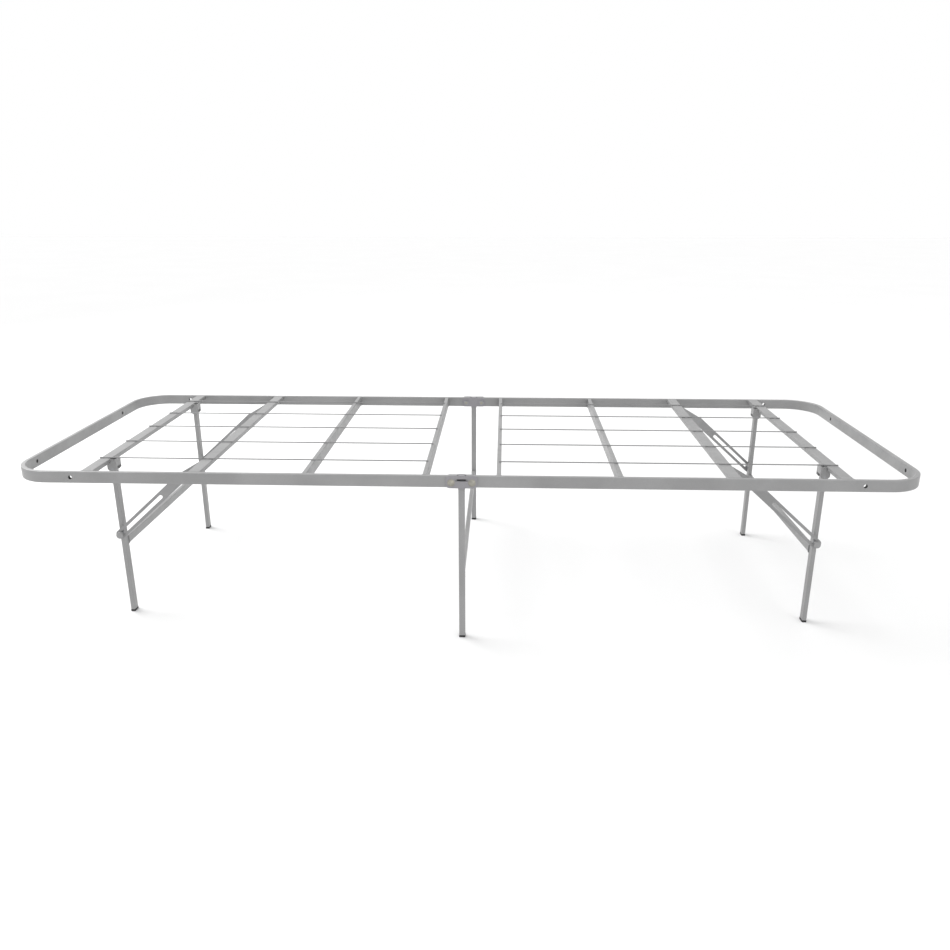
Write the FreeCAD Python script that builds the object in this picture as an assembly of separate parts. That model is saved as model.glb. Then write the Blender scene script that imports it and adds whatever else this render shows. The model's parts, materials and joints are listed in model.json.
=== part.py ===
# Folding steel platform bed frame: two U-shaped half decks hinged on a centre
# leg frame, each with an inward-folding end leg frame held by slotted stays.
# Millimetres. X runs along the bed, Y across it, Z up. The origin is on the
# floor, under the middle of the bed.
import FreeCAD
import Part
import math
import os

# ---- overall sizes -------------------------------------------------------
bed_length = 2032.0          # over the end rails
bed_width = 755.4            # over the long rails
deck_height = 394.7          # floor to the top of the rails

# ---- deck tube (rails and crossbars) -------------------------------------
tube_wide = 26.4             # long side of the deck tube section
tube_thin = 10.0             # short side of the deck tube section
tube_wall = 1.5
tube_corner = 1.5            # outside corner radius of the section
rail_bend_radius = 88.0      # outside radius of the rail's bent corners
rail_end_gap = 10.0          # from the bed's middle to each rail end

# ---- crossbars -----------------------------------------------------------
end_bay = 157.5              # end rail's inner face to the first crossbar
first_bay = 240.5            # first to second crossbar, centre to centre
second_bay = 246.5           # second to third crossbar, centre to centre
inner_bar_x = 81.5           # fourth crossbar's centre from the bed's middle

# ---- support wires -------------------------------------------------------
wire_diameter = 2.8
wire_pitch = 141.0
wire_shift = 8.0             # the middle wire's Y, off the bed's centre line
wires_each_side = 2          # beside the middle one
wire_sink = 0.2              # flat that the weld leaves on the wire's underside

# ---- rail holes ----------------------------------------------------------
rail_hole_radius = 4.5
side_hole_offset = 58.0      # from the bent corner's start, along the long rail
end_hole_near_offset = 27.7  # from the bent corner's start, along the end rail
end_hole_far_offset = 90.7

# ---- end leg frames ------------------------------------------------------
leg_thin = 10.0              # leg section along X
leg_wide = 19.0              # leg section along Y, and the cross member's height
leg_wall = 1.2
leg_corner = 1.5
leg_inset = 97.7             # rail's inner face to the leg's centre
leg_from_bar = 16.0          # first crossbar's centre to the leg's centre
leg_pivot_below_web = 12.2   # leg bracket's top web to the leg pivot
leg_top_above_pivot = 5.0
pivot_pin_radius = 3.0
running_clearance = 0.05     # radial, pins in their turning holes

# ---- leg brackets --------------------------------------------------------
bracket_plate = 2.5
bracket_web = 2.0
bracket_half_length = 11.0
bracket_skirt = 5.5          # below the pivot
bracket_wall_clearance = 0.6 # folded leg's upper face to the inner wall's edge
bracket_chamfer = 5.0
bracket_side_clearance = 0.3

# ---- stays ---------------------------------------------------------------
stay_plate = 3.0
stay_width = 23.0
stay_gap = 0.5               # leg bracket's outer face to the stay
stay_bolt_drop = 163.1       # leg pivot to the lock bolt
stay_pivot_reach = 52.2      # second crossbar's outer edge to the stay pivot
stay_pivot_drop = 20.5       # leg pivot's level to the stay pivot's
slot_width = 8.7
slot_travel = 145.0          # lock bolt's centre to the slot's upper centre
tab_plate = 2.5
tab_side_clearance = 0.3
tab_nose_radius = 11.0
tab_root_length = 12.0       # along the underside of the crossbar
rivet_head_radius = 5.5
rivet_head_height = 2.0
face_clearance = 0.3         # between flat faces that slide past each other

# ---- lock bolts and knobs ------------------------------------------------
lock_bolt_radius = 4.0
collar_radius = 7.0
knob_radius = 8.0
knob_height = 9.0
knob_edge = 1.6
leg_bolt_hole_radius = 4.3

# ---- cross members and feet ----------------------------------------------
cross_below_bolt = 23.0      # lock bolt to the end cross member's centre
centre_cross_height = 154.0  # floor to the centre cross member's centre
centre_leg_size = 14.0
centre_leg_wall = 1.4
cap_flange = 5.0             # the foot's height under the tube
cap_lip = 0.3                # the foot's step outside the tube
cap_edge = 1.2
cap_plug = 12.0              # the part pushed up into the tube
cap_plug_clearance = 0.1

# ---- centre hinges -------------------------------------------------------
hinge_plate = 2.0
hinge_half_length = 35.0
hinge_corner = 9.0
hinge_side_clearance = 0.3
hinge_pivot_x = 23.0
hinge_pivot_drop = 15.0      # deck top to the hinge bolts
hinge_above_deck = 1.2
hinge_below_rail = 1.2
hinge_top_web_half = 7.0
hinge_slot_length = 29.0
hinge_slot_width = 5.0
hinge_slot_drop = 9.0        # deck top to the slot
hinge_bolt_radius = 4.0
hinge_head_radius = 8.5
hinge_head_height = 4.0
hinge_nut_flats = 13.0
hinge_nut_height = 3.0

# ---- worked-out places ---------------------------------------------------
half_length = bed_length / 2.0
half_width = bed_width / 2.0
rail_inner_y = half_width - tube_thin
rail_mid_y = half_width - tube_thin / 2.0
rail_bottom = deck_height - tube_wide
rail_mid_z = deck_height - tube_wide / 2.0
bar_bottom = deck_height - tube_thin          # underside of a crossbar lying flat
bar_1_x = half_length - tube_thin - end_bay - tube_wide / 2.0
bar_2_x = bar_1_x - first_bay
bar_3_x = bar_2_x - second_bay
bar_x = [bar_1_x, bar_2_x, bar_3_x, inner_bar_x]
bar_lies_flat = [True, True, False, False]

leg_x = bar_1_x - leg_from_bar
leg_y = rail_inner_y - leg_inset
leg_face_y = leg_y + leg_wide / 2.0
leg_pivot_z = bar_bottom - bracket_web - leg_pivot_below_web
bolt_z = leg_pivot_z - stay_bolt_drop
stay_pivot_x = bar_2_x + tube_wide / 2.0 + stay_pivot_reach
stay_pivot_z = leg_pivot_z - stay_pivot_drop
cheek_in_y = leg_face_y + bracket_side_clearance
cheek_out_y = cheek_in_y + bracket_plate
stay_in_y = cheek_out_y + stay_gap
stay_out_y = stay_in_y + stay_plate
tab_out_y = stay_in_y - tab_side_clearance
tab_in_y = tab_out_y - tab_plate
cross_z = bolt_z - cross_below_bolt

hinge_z = deck_height - hinge_pivot_drop
hinge_bottom = rail_bottom - hinge_below_rail
hinge_foot_bottom = hinge_bottom - hinge_plate
outer_cheek_in = half_width + hinge_side_clearance
outer_cheek_out = outer_cheek_in + hinge_plate
inner_cheek_out = rail_inner_y - hinge_side_clearance
inner_cheek_in = inner_cheek_out - hinge_plate

END_SIGNS = {"left": -1.0, "right": 1.0}
SIDE_SIGNS = {"near": -1.0, "far": 1.0}
X_AXIS = FreeCAD.Vector(1, 0, 0)
Y_AXIS = FreeCAD.Vector(0, 1, 0)
Z_AXIS = FreeCAD.Vector(0, 0, 1)
OVERCUT = 5.0                # how far a cutting tool runs past the metal


def save(shape, node):
    shape.exportStep("parts/" + node + ".step")


def box(x, y, z):
    """A box from three (low, high) spans."""
    low = FreeCAD.Vector(min(x), min(y), min(z))
    return Part.makeBox(abs(x[1] - x[0]), abs(y[1] - y[0]), abs(z[1] - z[0]), low)


def rod_y(x, z, radius, y0, y1):
    """A round bar along Y between two Y values."""
    start = FreeCAD.Vector(x, min(y0, y1), z)
    return Part.makeCylinder(radius, abs(y1 - y0), start, Y_AXIS)


def edges_along(shape, axis):
    """The straight edges of a shape that run along one axis."""
    found = []
    for edge in shape.Edges:
        if len(edge.Vertexes) != 2:
            continue
        run = edge.Vertexes[1].Point - edge.Vertexes[0].Point
        if run.Length > 0 and abs(run.dot(axis)) > 0.999 * run.Length:
            found.append(edge)
    return found


def tube(x, y, z, axis, wall, corner):
    """A straight rectangular tube with rounded section corners and open ends."""
    outer = box(x, y, z)
    outer = outer.makeFillet(corner, edges_along(outer, axis))
    spans = []
    for span, unit in ((x, X_AXIS), (y, Y_AXIS), (z, Z_AXIS)):
        step = -OVERCUT if unit == axis else wall
        spans.append((min(span) + step, max(span) - step))
    return outer.cut(box(*spans))


def plate_xz(points, y0, y1):
    """A flat plate in the XZ plane between two Y values, from its outline."""
    corners = [FreeCAD.Vector(px, min(y0, y1), pz) for px, pz in points]
    face = Part.Face(Part.makePolygon(corners + corners[:1]))
    return face.extrude(FreeCAD.Vector(0, abs(y1 - y0), 0))


def link_xz(start, end, width, y0, y1):
    """A straight bar with round ends, centred on the line between two XZ points."""
    run_x = end[0] - start[0]
    run_z = end[1] - start[1]
    length = math.hypot(run_x, run_z)
    side_x = -run_z / length * width / 2.0
    side_z = run_x / length * width / 2.0
    outline = [(start[0] + side_x, start[1] + side_z), (end[0] + side_x, end[1] + side_z),
               (end[0] - side_x, end[1] - side_z), (start[0] - side_x, start[1] - side_z)]
    bar = plate_xz(outline, y0, y1)
    for px, pz in (start, end):
        bar = bar.fuse(rod_y(px, pz, width / 2.0, y0, y1))
    return bar.removeSplitter()


# ---- half decks ----------------------------------------------------------
def u_block(end, inset, z0, z1, bend, open_end):
    """A solid half deck block with two bent corners, inset from the outline."""
    low_x = end * (half_length - inset)
    block = box((low_x, end * open_end), (-half_width + inset, half_width - inset), (z0, z1))
    corners = []
    for edge in edges_along(block, Z_AXIS):
        if abs(edge.Vertexes[0].X - low_x) < 0.01:
            corners.append(edge)
    return block.makeFillet(bend, corners)


def make_rail(end):
    """One bent tube: two long rails and an end rail, open at its two ends."""
    skin = u_block(end, 0.0, rail_bottom, deck_height, rail_bend_radius, rail_end_gap)
    hollow = u_block(end, tube_thin, rail_bottom - OVERCUT, deck_height + OVERCUT,
                     rail_bend_radius - tube_thin, rail_end_gap - OVERCUT)
    rail = skin.cut(hollow)
    long_edges = []
    for edge in rail.Edges:
        middle = edge.valueAt((edge.FirstParameter + edge.LastParameter) / 2.0)
        level = min(abs(middle.z - rail_bottom), abs(middle.z - deck_height)) < 0.01
        at_open_end = abs(abs(middle.x) - rail_end_gap) < 0.01
        if level and not at_open_end:
            long_edges.append(edge)
    rail = rail.makeFillet(tube_corner, long_edges)
    core_out = u_block(end, tube_wall, rail_bottom + tube_wall, deck_height - tube_wall,
                       rail_bend_radius - tube_wall, rail_end_gap - OVERCUT)
    core_in = u_block(end, tube_thin - tube_wall, rail_bottom, deck_height,
                      rail_bend_radius - tube_thin + tube_wall, rail_end_gap - 2 * OVERCUT)
    rail = rail.cut(core_out.cut(core_in))
    for side in SIDE_SIGNS.values():
        y_span = (side * (rail_inner_y - OVERCUT), side * (half_width + OVERCUT))
        hole_x = end * (half_length - rail_bend_radius - side_hole_offset)
        rail = rail.cut(rod_y(hole_x, rail_mid_z, rail_hole_radius, *y_span))
        rail = rail.cut(rod_y(end * hinge_pivot_x, hinge_z,
                              hinge_bolt_radius + running_clearance, *y_span))
    arc_end_y = half_width - rail_bend_radius
    for hole_y in (-arc_end_y + end_hole_near_offset, arc_end_y - end_hole_far_offset):
        start = FreeCAD.Vector(end * (half_length + OVERCUT), hole_y, rail_mid_z)
        depth = tube_thin + 2 * OVERCUT
        rail = rail.cut(Part.makeCylinder(rail_hole_radius, depth, start, X_AXIS * -end))
    return rail


def make_crossbar(end, index):
    """A straight tube between the long rails, its top level with theirs."""
    wide = tube_wide if bar_lies_flat[index] else tube_thin
    tall = tube_thin if bar_lies_flat[index] else tube_wide
    middle = end * bar_x[index]
    return tube((middle - wide / 2.0, middle + wide / 2.0), (-rail_inner_y, rail_inner_y),
                (deck_height - tall, deck_height), Y_AXIS, tube_wall, tube_corner)


def make_wires(end):
    """The support wires of one half, lying lengthwise on its crossbars."""
    outer_x = bar_1_x + tube_wide / 2.0
    length = outer_x - inner_bar_x
    wires = []
    for step in range(-wires_each_side, wires_each_side + 1):
        height = deck_height + wire_diameter / 2.0 - wire_sink
        wire_y = wire_shift + step * wire_pitch
        start = FreeCAD.Vector(end * inner_bar_x, wire_y, height)
        wire = Part.makeCylinder(wire_diameter / 2.0, length, start, X_AXIS * end)
        below = box((end * (inner_bar_x - OVERCUT), end * (outer_x + OVERCUT)),
                    (wire_y - wire_diameter, wire_y + wire_diameter),
                    (deck_height - wire_diameter, deck_height))
        wires.append(wire.cut(below))
    return Part.makeCompound(wires)


def make_leg_bracket(end, side):
    """Two cheeks notched round the first crossbar, a web under it and an inner wall."""
    low_z = leg_pivot_z - bracket_skirt
    top_z = deck_height - tube_corner
    inner_x = end * (leg_x - bracket_half_length)
    outer_x = end * (leg_x + bracket_half_length)
    notch_x = end * (bar_1_x - tube_wide / 2.0)
    outline = [(inner_x, top_z), (notch_x, top_z), (notch_x, bar_bottom), (outer_x, bar_bottom),
               (outer_x, low_z + bracket_chamfer), (outer_x - end * bracket_chamfer, low_z),
               (inner_x + end * bracket_chamfer, low_z), (inner_x, low_z + bracket_chamfer)]
    outer_y = side * cheek_out_y
    inner_y = side * (2 * leg_y - cheek_out_y)
    block = plate_xz(outline, outer_y, inner_y)
    inner_span = (side * cheek_in_y, side * (2 * leg_y - cheek_in_y))
    wall_x = inner_x + end * bracket_plate
    beyond_x = outer_x + end * OVERCUT
    under_web = box((wall_x, beyond_x), inner_span, (low_z - OVERCUT, bar_bottom - bracket_web))
    over_web = box((wall_x, beyond_x), inner_span, (bar_bottom, top_z + OVERCUT))
    wall_low_z = leg_pivot_z + leg_thin / 2.0 + bracket_wall_clearance
    under_wall = box((inner_x - end * OVERCUT, beyond_x), inner_span,
                     (low_z - OVERCUT, wall_low_z))
    bracket = block.cut(under_web).cut(over_web).cut(under_wall)
    return bracket.cut(rod_y(end * leg_x, leg_pivot_z, pivot_pin_radius, outer_y, inner_y))


def make_pivot_pins(end):
    """The two pins that the legs of one end frame turn on, flush with the cheeks."""
    pins = []
    for side in SIDE_SIGNS.values():
        pins.append(rod_y(end * leg_x, leg_pivot_z, pivot_pin_radius,
                          side * cheek_out_y, side * (2 * leg_y - cheek_out_y)))
    return Part.makeCompound(pins)


def make_stay_tab(end, side):
    """A plate on the second crossbar's outer face that carries the stay's pivot."""
    edge_x = bar_2_x + tube_wide / 2.0
    top_z = deck_height - tube_corner
    nose = rod_y(end * stay_pivot_x, stay_pivot_z, tab_nose_radius,
                 side * tab_in_y, side * tab_out_y)
    run_x = stay_pivot_x - edge_x
    run_z = stay_pivot_z - top_z
    length = math.hypot(run_x, run_z)
    out_x = -run_z / length * tab_nose_radius
    out_z = run_x / length * tab_nose_radius
    outline = [(end * (edge_x - tab_root_length), bar_bottom), (end * edge_x, bar_bottom),
               (end * edge_x, top_z), (end * (stay_pivot_x + out_x), stay_pivot_z + out_z),
               (end * (stay_pivot_x - out_x), stay_pivot_z - out_z)]
    tab = plate_xz(outline, side * tab_in_y, side * tab_out_y).fuse(nose).removeSplitter()
    return tab.cut(rod_y(end * stay_pivot_x, stay_pivot_z, pivot_pin_radius,
                         side * tab_in_y, side * tab_out_y))


def make_stay_rivets(end):
    """The rivets that hold the two stays of one end to their tabs."""
    rivets = []
    for side in SIDE_SIGNS.values():
        head_y = stay_out_y + face_clearance
        shank = rod_y(end * stay_pivot_x, stay_pivot_z, pivot_pin_radius,
                      side * tab_in_y, side * head_y)
        head = Part.makeCone(rivet_head_radius, pivot_pin_radius, rivet_head_height,
                             FreeCAD.Vector(end * stay_pivot_x, side * head_y, stay_pivot_z),
                             Y_AXIS * side)
        rivets.append(shank.fuse(head))
    return Part.makeCompound(rivets)


# ---- end leg frames ------------------------------------------------------
def make_end_leg(end, side):
    """An end leg: a tube on edge, drilled for its pivot and its lock bolt."""
    middle_x = end * leg_x
    middle_y = side * leg_y
    y_span = (middle_y - leg_wide / 2.0, middle_y + leg_wide / 2.0)
    leg = tube((middle_x - leg_thin / 2.0, middle_x + leg_thin / 2.0), y_span,
               (cap_flange, leg_pivot_z + leg_top_above_pivot), Z_AXIS, leg_wall, leg_corner)
    leg = leg.cut(rod_y(middle_x, leg_pivot_z, pivot_pin_radius + running_clearance, *y_span))
    return leg.cut(rod_y(middle_x, bolt_z, leg_bolt_hole_radius,
                         middle_y, middle_y + side * leg_wide / 2.0))


def make_end_cross(end):
    """The cross member between the two legs of an end frame."""
    middle_x = end * leg_x
    reach = leg_y - leg_wide / 2.0
    return tube((middle_x - leg_thin / 2.0, middle_x + leg_thin / 2.0), (-reach, reach),
                (cross_z - leg_wide / 2.0, cross_z + leg_wide / 2.0), Y_AXIS, leg_wall, leg_corner)


def make_cap(middle_x, middle_y, size_x, size_y, wall):
    """A moulded foot under a tube, with a plug that reaches up inside it."""
    half_x = size_x / 2.0 + cap_lip
    half_y = size_y / 2.0 + cap_lip
    foot = box((middle_x - half_x, middle_x + half_x), (middle_y - half_y, middle_y + half_y),
               (0.0, cap_flange))
    foot = foot.makeFillet(cap_edge, edges_along(foot, Z_AXIS))
    half_x = size_x / 2.0 - wall - cap_plug_clearance
    half_y = size_y / 2.0 - wall - cap_plug_clearance
    plug = box((middle_x - half_x, middle_x + half_x), (middle_y - half_y, middle_y + half_y),
               (cap_flange, cap_flange + cap_plug))
    return foot.fuse(plug)


# ---- stays, lock bolts and knobs -----------------------------------------
def make_stay(end, side):
    """A flat stay, slotted from the lock bolt upward and solid above the slot."""
    pivot = (end * stay_pivot_x, stay_pivot_z)
    bolt = (end * leg_x, bolt_z)
    run = math.hypot(bolt[0] - pivot[0], bolt[1] - pivot[1])
    slot_top = (bolt[0] + (pivot[0] - bolt[0]) * slot_travel / run,
                bolt[1] + (pivot[1] - bolt[1]) * slot_travel / run)
    stay = link_xz(pivot, bolt, stay_width, side * stay_in_y, side * stay_out_y)
    stay = stay.cut(link_xz(bolt, slot_top, slot_width,
                            side * (stay_in_y - OVERCUT), side * (stay_out_y + OVERCUT)))
    return stay.cut(rod_y(pivot[0], pivot[1], pivot_pin_radius + running_clearance,
                          side * stay_in_y, side * stay_out_y))


def make_lock_bolt(end, side):
    """The lock bolt: a collar against the leg and a shank through the slot."""
    start_y = leg_face_y + face_clearance
    collar = rod_y(end * leg_x, bolt_z, collar_radius,
                   side * start_y, side * (stay_in_y - face_clearance))
    knob_y = stay_out_y + face_clearance
    shank = rod_y(end * leg_x, bolt_z, lock_bolt_radius,
                  side * start_y, side * (knob_y + knob_height / 2.0))
    return collar.fuse(shank).removeSplitter()


def make_knob(end, side):
    """The round knob that clamps the stay."""
    knob_y = stay_out_y + face_clearance
    knob = rod_y(end * leg_x, bolt_z, knob_radius, side * knob_y, side * (knob_y + knob_height))
    rim = []
    for edge in knob.Edges:
        if abs(abs(edge.CenterOfMass.y) - knob_y - knob_height) < 0.01:
            rim.append(edge)
    knob = knob.makeFillet(knob_edge, rim)
    return knob.cut(rod_y(end * leg_x, bolt_z, lock_bolt_radius,
                          side * knob_y, side * (knob_y + knob_height / 2.0)))


# ---- centre leg frame ----------------------------------------------------
def make_hinge_bracket(side):
    """Two cheeks around the rail ends, joined over and under the gap."""
    low_z = hinge_bottom
    top_z = deck_height + hinge_above_deck
    parts = []
    for y0, y1, z0, z1 in ((outer_cheek_in, outer_cheek_out, low_z, top_z),
                           (inner_cheek_in, inner_cheek_out, rail_bottom, deck_height)):
        cheek = box((-hinge_half_length, hinge_half_length), (side * y0, side * y1), (z0, z1))
        parts.append(cheek.makeFillet(hinge_corner, edges_along(cheek, Y_AXIS)))
    slot_z = deck_height - hinge_slot_drop
    slot_half = (hinge_slot_length - hinge_slot_width) / 2.0
    slot = link_xz((-slot_half, slot_z), (slot_half, slot_z), hinge_slot_width,
                   side * (outer_cheek_in - OVERCUT), side * (outer_cheek_out + OVERCUT))
    parts[0] = parts[0].cut(slot)
    across = (side * inner_cheek_in, side * outer_cheek_out)
    parts.append(box((-hinge_top_web_half, hinge_top_web_half), across,
                     (top_z - hinge_plate, top_z)))
    parts.append(box((-centre_leg_size / 2.0, centre_leg_size / 2.0), across,
                     (hinge_foot_bottom, low_z)))
    parts.append(box((-centre_leg_size / 2.0, centre_leg_size / 2.0),
                     (side * inner_cheek_in, side * inner_cheek_out), (low_z, rail_bottom)))
    bracket = parts[0].multiFuse(parts[1:]).removeSplitter()
    for pivot_x in (-hinge_pivot_x, hinge_pivot_x):
        bracket = bracket.cut(rod_y(pivot_x, hinge_z, hinge_bolt_radius,
                                    side * (inner_cheek_in - OVERCUT),
                                    side * (outer_cheek_out + OVERCUT)))
    return bracket


def make_hinge_bolts():
    """The four hinge bolts, with low domed heads outside the rails."""
    bolts = []
    for side in SIDE_SIGNS.values():
        for pivot_x in (-hinge_pivot_x, hinge_pivot_x):
            shank = rod_y(pivot_x, hinge_z, hinge_bolt_radius,
                          side * (inner_cheek_in - hinge_nut_height), side * outer_cheek_out)
            rise = hinge_head_height
            dome_radius = (hinge_head_radius ** 2 + rise ** 2) / (2.0 * rise)
            centre = FreeCAD.Vector(pivot_x, side * (outer_cheek_out + rise - dome_radius), hinge_z)
            cap_y = (side * outer_cheek_out, side * (outer_cheek_out + dome_radius))
            reach = 2.0 * hinge_head_radius
            window = box((pivot_x - reach, pivot_x + reach), cap_y,
                         (hinge_z - reach, hinge_z + reach))
            head = Part.makeSphere(dome_radius, centre).common(window)
            bolts.append(shank.fuse(head).removeSplitter())
    return Part.makeCompound(bolts)


def make_hinge_nuts():
    """Hexagon nuts on the hinge bolts, inside the rails."""
    nuts = []
    corner = hinge_nut_flats / math.sqrt(3.0)
    for side in SIDE_SIGNS.values():
        for pivot_x in (-hinge_pivot_x, hinge_pivot_x):
            outline = []
            for turn in range(6):
                angle = math.radians(60.0 * turn)
                outline.append((pivot_x + corner * math.cos(angle),
                                hinge_z + corner * math.sin(angle)))
            y_span = (side * (inner_cheek_in - hinge_nut_height), side * inner_cheek_in)
            nut = plate_xz(outline, *y_span)
            nuts.append(nut.cut(rod_y(pivot_x, hinge_z, hinge_bolt_radius, *y_span)))
    return Part.makeCompound(nuts)


def make_centre_leg(side):
    """A centre leg: a square tube from its foot cap to the hinge bracket."""
    half = centre_leg_size / 2.0
    middle_y = side * rail_mid_y
    return tube((-half, half), (middle_y - half, middle_y + half),
                (cap_flange, hinge_foot_bottom), Z_AXIS, centre_leg_wall, leg_corner)


def make_centre_cross():
    """The cross member between the two centre legs."""
    reach = rail_mid_y - centre_leg_size / 2.0
    return tube((-leg_thin / 2.0, leg_thin / 2.0), (-reach, reach),
                (centre_cross_height - leg_wide / 2.0, centre_cross_height + leg_wide / 2.0),
                Y_AXIS, leg_wall, leg_corner)


# ---- write every piece ---------------------------------------------------
os.makedirs("parts", exist_ok=True)
for end_name, end in END_SIGNS.items():
    save(make_rail(end), end_name + "_rail")
    for index in range(len(bar_x)):
        save(make_crossbar(end, index), "%s_crossbar_%d" % (end_name, index + 1))
    save(make_wires(end), end_name + "_support_wires")
    save(make_pivot_pins(end), end_name + "_leg_pivot_pins")
    save(make_stay_rivets(end), end_name + "_stay_rivets")
    save(make_end_cross(end), end_name + "_leg_cross_member")
    caps = []
    for side_name, side in SIDE_SIGNS.items():
        place = end_name + "_" + side_name
        save(make_leg_bracket(end, side), place + "_leg_bracket")
        save(make_stay_tab(end, side), place + "_stay_tab")
        save(make_end_leg(end, side), place + "_leg")
        save(make_stay(end, side), place + "_stay")
        save(make_lock_bolt(end, side), place + "_lock_bolt")
        save(make_knob(end, side), place + "_knob")
        caps.append(make_cap(end * leg_x, side * leg_y, leg_thin, leg_wide, leg_wall))
    save(Part.makeCompound(caps), end_name + "_foot_caps")

centre_caps = []
for side_name, side in SIDE_SIGNS.items():
    save(make_hinge_bracket(side), side_name + "_hinge_bracket")
    save(make_centre_leg(side), side_name + "_centre_leg")
    centre_caps.append(make_cap(0.0, side * rail_mid_y, centre_leg_size, centre_leg_size,
                                centre_leg_wall))
save(make_centre_cross(), "centre_cross_member")
save(make_hinge_bolts(), "hinge_bolts")
save(make_hinge_nuts(), "hinge_nuts")
save(Part.makeCompound(centre_caps), "centre_foot_caps")
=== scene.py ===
import json
import math
import bpy
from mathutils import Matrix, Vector


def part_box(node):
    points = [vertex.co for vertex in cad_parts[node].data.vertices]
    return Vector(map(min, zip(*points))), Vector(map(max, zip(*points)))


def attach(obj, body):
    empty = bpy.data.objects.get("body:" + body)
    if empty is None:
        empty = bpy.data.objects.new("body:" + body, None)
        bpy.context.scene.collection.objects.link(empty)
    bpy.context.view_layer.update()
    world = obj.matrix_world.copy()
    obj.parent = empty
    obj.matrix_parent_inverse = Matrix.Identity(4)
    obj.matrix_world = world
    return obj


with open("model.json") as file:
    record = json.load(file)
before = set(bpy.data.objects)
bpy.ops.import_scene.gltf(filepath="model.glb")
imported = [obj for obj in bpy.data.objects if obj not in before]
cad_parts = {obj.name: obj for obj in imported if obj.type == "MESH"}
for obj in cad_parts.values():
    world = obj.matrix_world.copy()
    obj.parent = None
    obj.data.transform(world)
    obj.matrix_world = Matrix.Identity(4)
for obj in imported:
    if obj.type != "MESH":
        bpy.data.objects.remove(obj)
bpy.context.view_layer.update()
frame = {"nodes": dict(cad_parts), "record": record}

ENDS = {"left": -1.0, "right": 1.0}
SIDES = {"near": -1.0, "far": 1.0}
BARS = (1, 2, 3, 4)
MM = 0.001
WIRES = 5
WIRE_SINK = 0.2 * MM

# fillet legs of the weld beads
BAR_BEAD = 3.2 * MM
MEMBER_BEAD = 2.6 * MM
BRACKET_BEAD = 2.2 * MM
FACE_BEAD = 1.8 * MM
WIRE_BEAD = 1.3 * MM
CENTRE_BEAD = 1.0 * MM
WIRE_BEAD_HALF = 5.0 * MM
FACE_BEAD_LIFT = 1.0 * MM


# ---- materials -----------------------------------------------------------
def material(name):
    """An empty node material and its Principled shader."""
    mat = bpy.data.materials.new(name)
    mat.use_nodes = True
    return mat, mat.node_tree.nodes["Principled BSDF"]


def node(mat, kind, **values):
    """A new node with its sockets set by name."""
    made = mat.node_tree.nodes.new(kind)
    for key, value in values.items():
        socket = key.replace("_", " ")
        if socket in made.inputs:
            made.inputs[socket].default_value = value
        else:
            setattr(made, key, value)
    return made


def link(mat, source, target):
    mat.node_tree.links.new(source, target)


def noise(mat, scale, detail=3.0, roughness=0.5):
    """Noise in the object's own metres, so it has a real size."""
    place = node(mat, "ShaderNodeTexCoord")
    tex = node(mat, "ShaderNodeTexNoise", Scale=scale, Detail=detail, Roughness=roughness)
    link(mat, place.outputs["Object"], tex.inputs["Vector"])
    return tex.outputs["Fac"]


def ramp(mat, source, stops):
    """A colour ramp from (position, grey or colour) stops."""
    made = node(mat, "ShaderNodeValToRGB")
    made.color_ramp.elements[0].position = stops[0][0]
    made.color_ramp.elements[1].position = stops[-1][0]
    for position, _ in stops[1:-1]:
        made.color_ramp.elements.new(position)
    for element, (_, colour) in zip(made.color_ramp.elements, stops):
        if not isinstance(colour, tuple):
            colour = (colour, colour, colour)
        element.color = colour + (1.0,)
    link(mat, source, made.inputs["Fac"])
    return made.outputs["Color"]


def mix(mat, first, second, factor, blend="MIX"):
    """Two colours mixed by a factor that is a number or a socket."""
    made = node(mat, "ShaderNodeMix", data_type="RGBA", blend_type=blend)
    link(mat, first, made.inputs["A"])
    link(mat, second, made.inputs["B"])
    if isinstance(factor, float):
        made.inputs["Factor"].default_value = factor
    else:
        link(mat, factor, made.inputs["Factor"])
    return made.outputs["Result"]


def bump(mat, shader, heights):
    """A stack of bumps: (height socket, distance in metres, strength)."""
    normal = None
    for height, distance, strength in heights:
        made = node(mat, "ShaderNodeBump", Distance=distance, Strength=strength)
        link(mat, height, made.inputs["Height"])
        if normal is not None:
            link(mat, normal, made.inputs["Normal"])
        normal = made.outputs["Normal"]
    link(mat, normal, shader.inputs["Normal"])


def powder_coat(name, colour, roughness=0.42):
    """Silver-grey powder coat: orange peel, fine metallic fleck, faint handling marks."""
    mat, shader = material(name)
    light = tuple(min(1.0, c * 1.07) for c in colour)
    dark = tuple(c * 0.93 for c in colour)
    cloud = ramp(mat, noise(mat, 9.0, 4.0), [(0.35, dark), (0.65, light)])
    fleck = ramp(mat, noise(mat, 2600.0, 1.0), [(0.42, 0.90), (0.60, 1.0), (0.72, 1.16)])
    base = mix(mat, cloud, fleck, 1.0, "MULTIPLY")
    rub = ramp(mat, noise(mat, 38.0, 6.0, 0.7), [(0.56, 0.0), (0.74, 1.0)])
    worn = node(mat, "ShaderNodeMix", data_type="RGBA", blend_type="MIX")
    link(mat, base, worn.inputs["A"])
    worn.inputs["B"].default_value = tuple(c * 1.12 for c in colour) + (1.0,)
    soften = node(mat, "ShaderNodeMath", operation="MULTIPLY")
    link(mat, rub, soften.inputs[0])
    soften.inputs[1].default_value = 0.35
    link(mat, soften.outputs[0], worn.inputs["Factor"])
    link(mat, worn.outputs["Result"], shader.inputs["Base Color"])
    gloss = ramp(mat, noise(mat, 60.0, 4.0), [(0.3, roughness - 0.06), (0.7, roughness + 0.08)])
    link(mat, gloss, shader.inputs["Roughness"])
    shader.inputs["Metallic"].default_value = 0.25
    peel = noise(mat, 520.0, 2.0)
    grain = noise(mat, 1900.0, 1.0)
    bump(mat, shader, [(peel, 0.00012, 0.35), (grain, 0.00004, 0.3)])
    return mat


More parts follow.
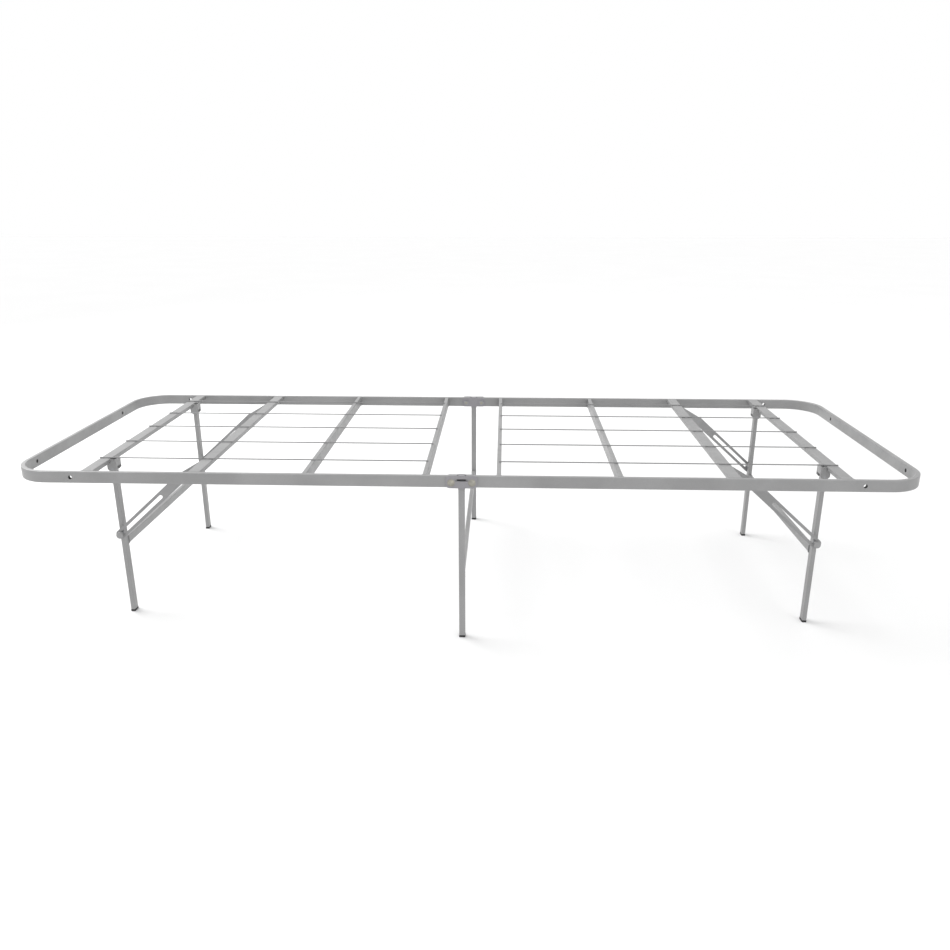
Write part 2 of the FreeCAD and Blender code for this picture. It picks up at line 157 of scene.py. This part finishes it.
def plated(name, colour, tint):
    """Zinc plating: a fine grain bump and cloudy passivate colour."""
    mat, shader = material(name)
    cloud = ramp(mat, noise(mat, 260.0, 4.0), [(0.35, colour), (0.65, tint)])
    spots = ramp(mat, noise(mat, 900.0, 2.0), [(0.35, 0.84), (0.6, 1.0)])
    link(mat, mix(mat, cloud, spots, 1.0, "MULTIPLY"), shader.inputs["Base Color"])
    gloss = ramp(mat, noise(mat, 700.0, 3.0), [(0.3, 0.30), (0.7, 0.48)])
    link(mat, gloss, shader.inputs["Roughness"])
    shader.inputs["Metallic"].default_value = 0.7
    bump(mat, shader, [(noise(mat, 1500.0, 2.0), 0.00005, 0.4)])
    return mat


def weld_metal_and_painted_shade(name, colour):
    """Coated weld bead: slightly glossier in patches, and a darker grey than the frame coat that
    paints shade into the corners where the beads sit.
    """
    mat, shader = material(name)
    # darker cloud below the given colour: painted shade for the corners the beads fill
    cloud = ramp(mat, noise(mat, 300.0, 4.0),
                 [(0.35, tuple(c * 0.88 for c in colour)), (0.65, colour)])
    link(mat, cloud, shader.inputs["Base Color"])
    gloss = ramp(mat, noise(mat, 500.0, 3.0), [(0.3, 0.32), (0.7, 0.50)])
    link(mat, gloss, shader.inputs["Roughness"])
    shader.inputs["Metallic"].default_value = 0.25
    bump(mat, shader, [(noise(mat, 1400.0, 3.0), 0.00008, 0.4)])
    return mat


def moulded_black(name):
    """Matt black moulded plastic with a fine spark texture and floor scuffs."""
    mat, shader = material(name)
    dust = ramp(mat, noise(mat, 220.0, 5.0, 0.65),
                [(0.40, (0.006, 0.006, 0.007)), (0.75, (0.020, 0.020, 0.021))])
    link(mat, dust, shader.inputs["Base Color"])
    gloss = ramp(mat, noise(mat, 420.0, 3.0), [(0.3, 0.45), (0.7, 0.68)])
    link(mat, gloss, shader.inputs["Roughness"])
    bump(mat, shader, [(noise(mat, 2200.0, 2.0), 0.00006, 0.5)])
    return mat


GREY = (0.275, 0.275, 0.276)
finishes = {
    "frame_steel": powder_coat("frame_powder_coat", GREY),
    "stay_steel": powder_coat("stay_powder_coat", (0.268, 0.268, 0.270), 0.40),
    "bracket_steel": powder_coat("hinge_powder_coat", (0.260, 0.254, 0.268), 0.44),
    "wire_steel": powder_coat("wire_powder_coat", (0.225, 0.225, 0.227), 0.40),
    "knob_finish": powder_coat("knob_coat", (0.268, 0.268, 0.270), 0.36),
    "zinc_yellow": plated("yellow_zinc", (0.36, 0.345, 0.295), (0.30, 0.292, 0.262)),
    "zinc_clear": plated("clear_zinc", (0.34, 0.34, 0.35), (0.28, 0.285, 0.30)),
    "foot_plastic": moulded_black("black_foot_plastic"),
}
for part in frame["record"]["subparts"]:
    data = frame["nodes"][part["node"]].data
    data.materials.clear()
    data.materials.append(finishes[part["material_slot"]])
# bead grey set below the frame coat's grey: painted shade in the weld corners, not a different coat
bead_finish_painted_shade = weld_metal_and_painted_shade("weld_coat_painted_shade", (0.250, 0.250, 0.252))


# ---- weld beads ----------------------------------------------------------
class Beads:
    """Fillet welds of one body, gathered into one mesh."""

    def __init__(self):
        self.verts = []
        self.faces = []

    def seam(self, start, end, along_a, along_b, leg):
        """A rippled convex bead in the corner between two faces."""
        start, end = Vector(start), Vector(end)
        a, b = Vector(along_a), Vector(along_b)
        run = end - start
        ripple = 0.0016
        rings = max(8, int(run.length / ripple * 5))
        arc = 5
        first = len(self.verts)
        for ring in range(rings + 1):
            t = ring / rings
            wave = (t * run.length / ripple) % 1.0
            near_end = min(t, 1.0 - t) * run.length / leg
            size = leg * (0.90 + 0.16 * wave) * min(1.0, 0.35 + 0.65 * math.sqrt(near_end))
            centre = start + run * t
            self.verts.append(centre - (a + b) * leg * 0.25)
            for k in range(arc):
                angle = math.radians(90.0 * k / (arc - 1))
                grow = 0.82 + 0.10 * math.sin(2.0 * angle)
                self.verts.append(centre + (a * math.cos(angle) + b * math.sin(angle)) * size * grow)
        width = arc + 1
        for ring in range(rings):
            low = first + ring * width
            for k in range(width):
                step = (k + 1) % width
                self.faces.append((low + k, low + step, low + width + step, low + width + k))
        self.faces.append(tuple(first + k for k in reversed(range(width))))
        self.faces.append(tuple(first + rings * width + k for k in range(width)))

    def finish(self, name, body):
        mesh = bpy.data.meshes.new(name)
        mesh.from_pydata([tuple(v) for v in self.verts], [], self.faces)
        mesh.validate()
        mesh.update()
        for polygon in mesh.polygons:
            polygon.use_smooth = True
        piece = bpy.data.objects.new(name, mesh)
        bpy.context.scene.collection.objects.link(piece)
        mesh.materials.append(bead_finish_painted_shade)
        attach(piece, body)
        return piece


X = Vector((1, 0, 0))
Y = Vector((0, 1, 0))
Z = Vector((0, 0, 1))


def tube_end(beads, low, high, side, leg, skip_top):
    """Beads round the end of a tube along Y that butts against a face."""
    y = high.y if side > 0 else low.y
    back = -side * Y
    beads.seam((low.x, y, low.z), (low.x, y, high.z), -X, back, leg)
    beads.seam((high.x, y, low.z), (high.x, y, high.z), X, back, leg)
    beads.seam((low.x, y, low.z), (high.x, y, low.z), -Z, back, leg)
    if not skip_top:
        beads.seam((low.x, y, high.z), (high.x, y, high.z), Z, back, leg)


def deck_welds(end_name, end):
    beads = Beads()
    wire_low, wire_high = (Vector(c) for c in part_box(end_name + "_support_wires"))
    wire = (wire_high.z - wire_low.z) + WIRE_SINK
    for index in BARS:
        low, high = (Vector(c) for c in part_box("%s_crossbar_%d" % (end_name, index)))
        for side in SIDES.values():
            tube_end(beads, low, high, side, BAR_BEAD, True)
        for step in range(WIRES):
            y = wire_low.y + wire / 2.0 + step * (wire_high.y - wire_low.y - wire) / (WIRES - 1)
            x0 = max(low.x, wire_low.x)
            x1 = min(high.x, wire_high.x)
            middle = (x0 + x1) / 2.0
            half = min((x1 - x0) / 2.0, WIRE_BEAD_HALF)
            for turn in (-1.0, 1.0):
                edge = y + turn * wire * 0.32
                beads.seam((middle - half, edge, high.z), (middle + half, edge, high.z),
                           turn * Y, Z, WIRE_BEAD)
    bar_low, bar_high = (Vector(c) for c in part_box(end_name + "_crossbar_1"))
    for side_name in SIDES:
        low, high = (Vector(c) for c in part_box("%s_%s_leg_bracket" % (end_name, side_name)))
        under = bar_low.z
        for y, turn in ((low.y, -1.0), (high.y, 1.0)):
            x0, x1 = max(low.x, bar_low.x), min(high.x, bar_high.x)
            beads.seam((x0, y, under), (x1, y, under), turn * Y, -Z, BRACKET_BEAD)
        x = bar_high.x if end < 0 else bar_low.x
        for y, turn in ((low.y, -1.0), (high.y, 1.0)):
            beads.seam((x, y, under + FACE_BEAD_LIFT), (x, y, high.z),
                       turn * Y, -end * X, FACE_BEAD)
        low, high = (Vector(c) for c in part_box("%s_%s_stay_tab" % (end_name, side_name)))
        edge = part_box(end_name + "_crossbar_2")[1 if end > 0 else 0][0]
        inner = low.x if end > 0 else high.x
        for y, turn in ((low.y, -1.0), (high.y, 1.0)):
            beads.seam((inner, y, under), (edge, y, under), turn * Y, -Z, FACE_BEAD)
            beads.seam((edge, y, under + FACE_BEAD_LIFT), (edge, y, high.z),
                       turn * Y, end * X, FACE_BEAD)
    beads.finish(end_name + "_deck_welds", end_name + "_deck")


for end_name, end in ENDS.items():
    deck_welds(end_name, end)
    beads = Beads()
    low, high = (Vector(c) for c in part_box(end_name + "_leg_cross_member"))
    for side in SIDES.values():
        tube_end(beads, low, high, side, MEMBER_BEAD, False)
    beads.finish(end_name + "_leg_welds", end_name + "_legs")

beads = Beads()
low, high = (Vector(c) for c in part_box("centre_cross_member"))
for side in SIDES.values():
    tube_end(beads, low, high, side, MEMBER_BEAD, False)
for side_name in SIDES:
    low, high = (Vector(c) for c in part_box(side_name + "_centre_leg"))
    for y, turn in ((low.y, -1.0), (high.y, 1.0)):
        beads.seam((low.x, y, high.z), (high.x, y, high.z), turn * Y, -Z, CENTRE_BEAD)
    for x, turn in ((low.x, -1.0), (high.x, 1.0)):
        beads.seam((x, low.y, high.z), (x, high.y, high.z), turn * X, -Z, CENTRE_BEAD)
beads.finish("centre_welds", "centre_frame")


# ---- floor, light and camera ---------------------------------------------
def floor_material():
    mat, shader = material("pale_floor")
    tone = ramp(mat, noise(mat, 1.5, 2.0), [(0.3, 0.762), (0.7, 0.772)])
    link(mat, tone, shader.inputs["Base Color"])
    shader.inputs["Roughness"].default_value = 0.85
    shader.inputs["Specular IOR Level"].default_value = 0.2
    return mat


def plane(name, size, location):
    mesh = bpy.data.meshes.new(name)
    half = size / 2.0
    mesh.from_pydata([(-half, -half, 0), (half, -half, 0), (half, half, 0), (-half, half, 0)],
                     [], [(0, 1, 2, 3)])
    made = bpy.data.objects.new(name, mesh)
    made.location = location
    bpy.context.scene.collection.objects.link(made)
    return made


floor = plane("floor", 40.0, (0, 0, 0))
floor.data.materials.append(floor_material())


def area_light(name, location, target, size, power):
    data = bpy.data.lights.new(name, "AREA")
    data.shape = "RECTANGLE"
    data.size, data.size_y = size
    data.energy = power
    lamp = bpy.data.objects.new(name, data)
    lamp.location = location
    lamp.rotation_euler = (Vector(target) - Vector(location)).to_track_quat("-Z", "Y").to_euler()
    bpy.context.scene.collection.objects.link(lamp)
    return lamp


def broad_light(name, rotation, power, spread):
    """A light from very far away, softened by its angular size in degrees."""
    data = bpy.data.lights.new(name, "SUN")
    data.energy = power
    data.angle = math.radians(spread)
    lamp = bpy.data.objects.new(name, data)
    lamp.rotation_euler = rotation
    bpy.context.scene.collection.objects.link(lamp)
    return lamp


area_light("softbox", (-3.0, 1.2, 2.6), (-0.6, 0, 0.2), (2.4, 2.0), 70.0)
broad_light("sky_panel", (math.radians(-16.0), math.radians(-30.0), 0.0), 0.86, 36.0)
FILL_DIRECTION = Vector((-0.55, 0.80, -0.25))
broad_light("front_fill", FILL_DIRECTION.to_track_quat("-Z", "Y").to_euler(), 0.7, 60.0)

world = bpy.data.worlds.new("studio")
world.use_nodes = True
world.node_tree.nodes["Background"].inputs["Color"].default_value = (1.0, 1.0, 1.0, 1.0)
world.node_tree.nodes["Background"].inputs["Strength"].default_value = 1.0
bpy.context.scene.world = world
bpy.context.scene.view_settings.view_transform = "Standard"

camera_data = bpy.data.cameras.new("camera")
camera_data.sensor_width = 36.0
camera_data.lens = 31.5
camera = bpy.data.objects.new("camera", camera_data)
camera.location = (0.0895, -2.0925, 0.9718)
camera.rotation_euler = (math.radians(90.0 - 18.5), 0.0, math.radians(2.0))
bpy.context.scene.collection.objects.link(camera)
bpy.context.scene.camera = camera
